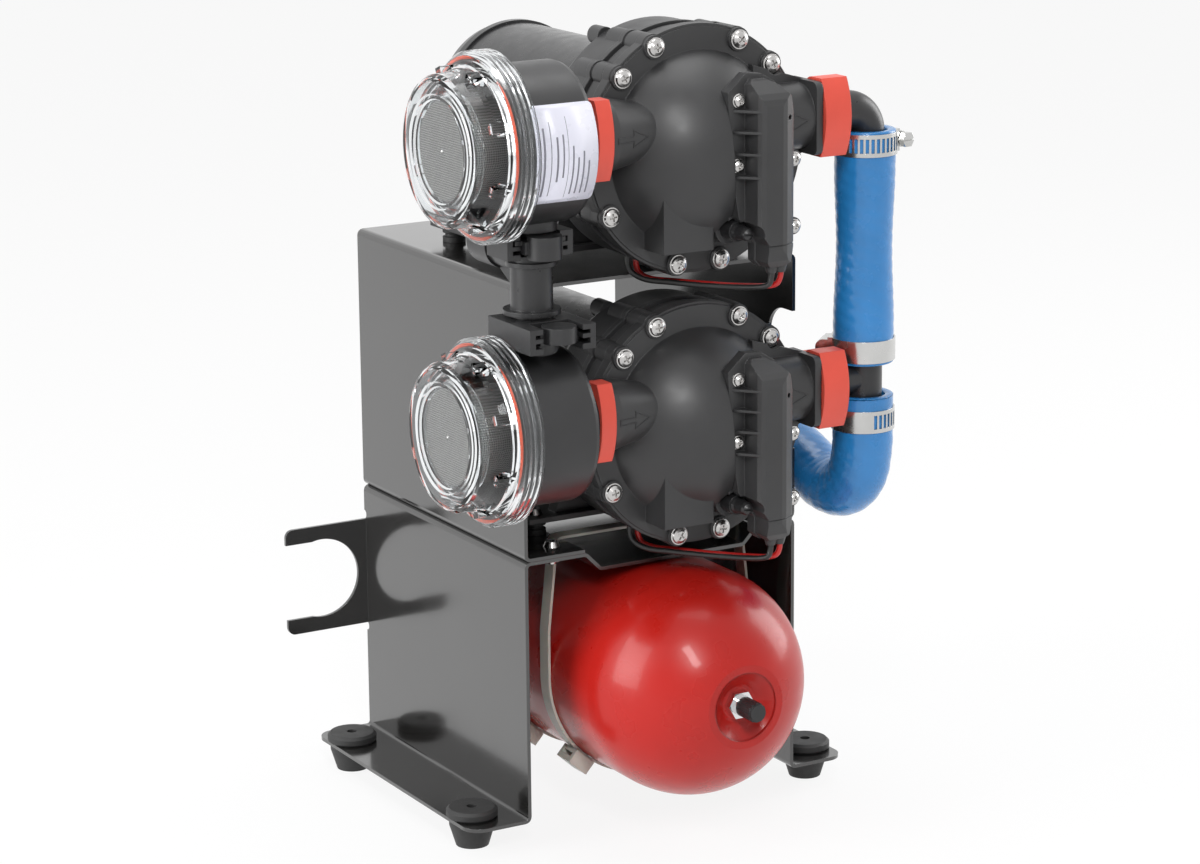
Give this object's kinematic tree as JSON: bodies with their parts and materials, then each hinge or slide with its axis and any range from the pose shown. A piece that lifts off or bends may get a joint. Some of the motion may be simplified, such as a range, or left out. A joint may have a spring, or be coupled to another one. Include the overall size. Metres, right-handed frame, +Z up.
{
  "type": "water pressure pump set",
  "caption": "Twin motor-driven diaphragm water pumps on a bent sheet frame, with inline strainers, a pressure tank below and hose plumbing.",
  "frame": {"origin": "on the floor, at the centre of the four foot holes", "axes": "+X to the right seen from the pump heads, +Y from the pump heads to the motors, +Z up"},
  "size_m": [0.2846, 0.3217, 0.4425],
  "materials": {
    "frame_black": "gloss black powder coat",
    "bright_screws": "bright plated",
    "foot_rubber": "matte black",
    "tank_red": "gloss red paint",
    "bladder_rubber": "matte",
    "valve_metal": "bright nickel plate",
    "valve_brass": "bare",
    "cap_black": "satin",
    "strap_nylon": "satin off-white nylon",
    "fitting_black": "satin moulded",
    "head_plastic": "matte charcoal, glass-filled",
    "diaphragm_rubber": "matte",
    "inner_plastic": "natural",
    "motor_black": "satin black",
    "rotor_steel": "machined",
    "bearing_steel": "ground",
    "lead_red": "PVC sheath",
    "lead_black": "PVC sheath",
    "strainer_plastic": "matte charcoal",
    "clear_plastic": "clear polished",
    "seal_orange": "silicone",
    "basket_mesh": "stainless mesh",
    "clip_red": "satin red",
    "ring_rubber": "matte",
    "hose_blue": "gloss blue silicone",
    "clamp_steel": "stainless"
  },
  "bodies": {
    "assembly": {"lower_frame": "frame_black", "upper_frame": "frame_black", "frame_bolts": "bright_screws", "rubber_feet": "foot_rubber", "tank_shell": "tank_red", "tank_bladder": "bladder_rubber", "tank_air_valve": "valve_metal", "tank_straps": "strap_nylon", "tank_tee": "fitting_black", "lower_head_cover": "head_plastic", "upper_head_cover": "head_plastic", "lower_valve_plate": "head_plastic", "upper_valve_plate": "head_plastic", "lower_diaphragm": "diaphragm_rubber", "upper_diaphragm": "diaphragm_rubber", "lower_wobble_plate": "inner_plastic", "upper_wobble_plate": "inner_plastic", "lower_drive_housing": "head_plastic", "upper_drive_housing": "head_plastic", "lower_motor_can": "motor_black", "upper_motor_can": "motor_black", "lower_motor_end_cap": "motor_black", "upper_motor_end_cap": "motor_black", "lower_bearings": "bearing_steel", "upper_bearings": "bearing_steel", "lower_pump_base": "head_plastic", "upper_pump_base": "head_plastic", "pump_grommets": "foot_rubber", "head_screws": "bright_screws", "lower_pressure_switch": "head_plastic", "upper_pressure_switch": "head_plastic", "red_leads": "lead_red", "black_leads": "lead_black", "lower_strainer_body": "strainer_plastic", "upper_strainer_body": "strainer_plastic", "lower_strainer_basket": "basket_mesh", "upper_strainer_basket": "basket_mesh", "port_o_rings": "ring_rubber", "suction_manifold": "fitting_black", "outlet_elbow": "fitting_black", "outlet_tee": "fitting_black", "upper_hose": "hose_blue", "lower_hose": "hose_blue", "hose_clamps": "clamp_steel"},
    "valve_core_body": {"tank_valve_core": "valve_brass"},
    "valve_cap_body": {"tank_valve_cap": "cap_black"},
    "lower_rotor_body": {"lower_rotor": "rotor_steel"},
    "upper_rotor_body": {"upper_rotor": "rotor_steel"},
    "lower_adjuster_body": {"lower_pressure_adjuster": "cap_black"},
    "upper_adjuster_body": {"upper_pressure_adjuster": "cap_black"},
    "lower_cap_body": {"lower_strainer_cap": "clear_plastic"},
    "upper_cap_body": {"upper_strainer_cap": "clear_plastic"},
    "lower_seal_body": {"lower_strainer_seal": "seal_orange"},
    "upper_seal_body": {"upper_strainer_seal": "seal_orange"},
    "lower_inlet_clip_body": {"lower_inlet_clip": "clip_red"},
    "upper_inlet_clip_body": {"upper_inlet_clip": "clip_red"},
    "lower_outlet_clip_body": {"lower_outlet_clip": "clip_red"},
    "upper_outlet_clip_body": {"upper_outlet_clip": "clip_red"},
    "lower_manifold_clip_body": {"lower_manifold_clip": "fitting_black"},
    "upper_manifold_clip_body": {"upper_manifold_clip": "fitting_black"}
  },
  "joints": [
    {"name": "lower_rotor_spin", "type": "hinge", "parent": "assembly", "child": "lower_rotor_body", "pos_m": [0.0065, -0.061, 0.23], "axis": [0, 1, 0], "continuous": true},
    {"name": "lower_seal_slide", "type": "slide", "parent": "assembly", "child": "lower_seal_body", "axis": [-1, 0, 0], "range_m": [0, 0.0045]},
    {"name": "lower_cap_turn", "type": "hinge", "parent": "lower_seal_body", "child": "lower_cap_body", "pos_m": [-0.128, -0.126, 0.2434], "axis": [-1, 0, 0], "range_deg": [0, 540]},
    {"name": "lower_inlet_clip_slide", "type": "slide", "parent": "assembly", "child": "lower_inlet_clip_body", "axis": [0, -1, 0], "range_m": [0, 0.03]},
    {"name": "lower_outlet_clip_slide", "type": "slide", "parent": "assembly", "child": "lower_outlet_clip_body", "axis": [0, -1, 0], "range_m": [0, 0.03]},
    {"name": "lower_manifold_clip_slide", "type": "slide", "parent": "assembly", "child": "lower_manifold_clip_body", "axis": [0, -1, 0], "range_m": [0, 0.02]},
    {"name": "lower_adjuster_turn", "type": "hinge", "parent": "assembly", "child": "lower_adjuster_body", "pos_m": [0.0155, -0.146, 0.1895], "axis": [0, 1, 0], "range_deg": [-720, 720]},
    {"name": "upper_rotor_spin", "type": "hinge", "parent": "assembly", "child": "upper_rotor_body", "pos_m": [0.0065, -0.061, 0.377], "axis": [0, 1, 0], "continuous": true},
    {"name": "upper_seal_slide", "type": "slide", "parent": "assembly", "child": "upper_seal_body", "axis": [-1, 0, 0], "range_m": [0, 0.0045]},
    {"name": "upper_cap_turn", "type": "hinge", "parent": "upper_seal_body", "child": "upper_cap_body", "pos_m": [-0.128, -0.126, 0.3904], "axis": [-1, 0, 0], "range_deg": [0, 540]},
    {"name": "upper_inlet_clip_slide", "type": "slide", "parent": "assembly", "child": "upper_inlet_clip_body", "axis": [0, -1, 0], "range_m": [0, 0.03]},
    {"name": "upper_outlet_clip_slide", "type": "slide", "parent": "assembly", "child": "upper_outlet_clip_body", "axis": [0, -1, 0], "range_m": [0, 0.03]},
    {"name": "upper_manifold_clip_slide", "type": "slide", "parent": "assembly", "child": "upper_manifold_clip_body", "axis": [0, -1, 0], "range_m": [0, 0.02]},
    {"name": "upper_adjuster_turn", "type": "hinge", "parent": "assembly", "child": "upper_adjuster_body", "pos_m": [0.0155, -0.146, 0.3365], "axis": [0, 1, 0], "range_deg": [-720, 720]},
    {"name": "valve_cap_turn", "type": "hinge", "parent": "assembly", "child": "valve_cap_body", "pos_m": [0.0065, -0.175, 0.085], "axis": [0, -1, 0], "range_deg": [0, 1440]},
    {"name": "valve_core_push", "type": "slide", "parent": "assembly", "child": "valve_core_body", "axis": [0, 1, 0], "range_m": [0, 0.0015], "stiffness_N_per_m": 600}
  ],
  "couplings": [
    {"joint": "lower_seal_slide", "follows": "lower_cap_turn", "m_per_rad": 0.00047746},
    {"joint": "upper_seal_slide", "follows": "upper_cap_turn", "m_per_rad": 0.00047746}
  ]
}
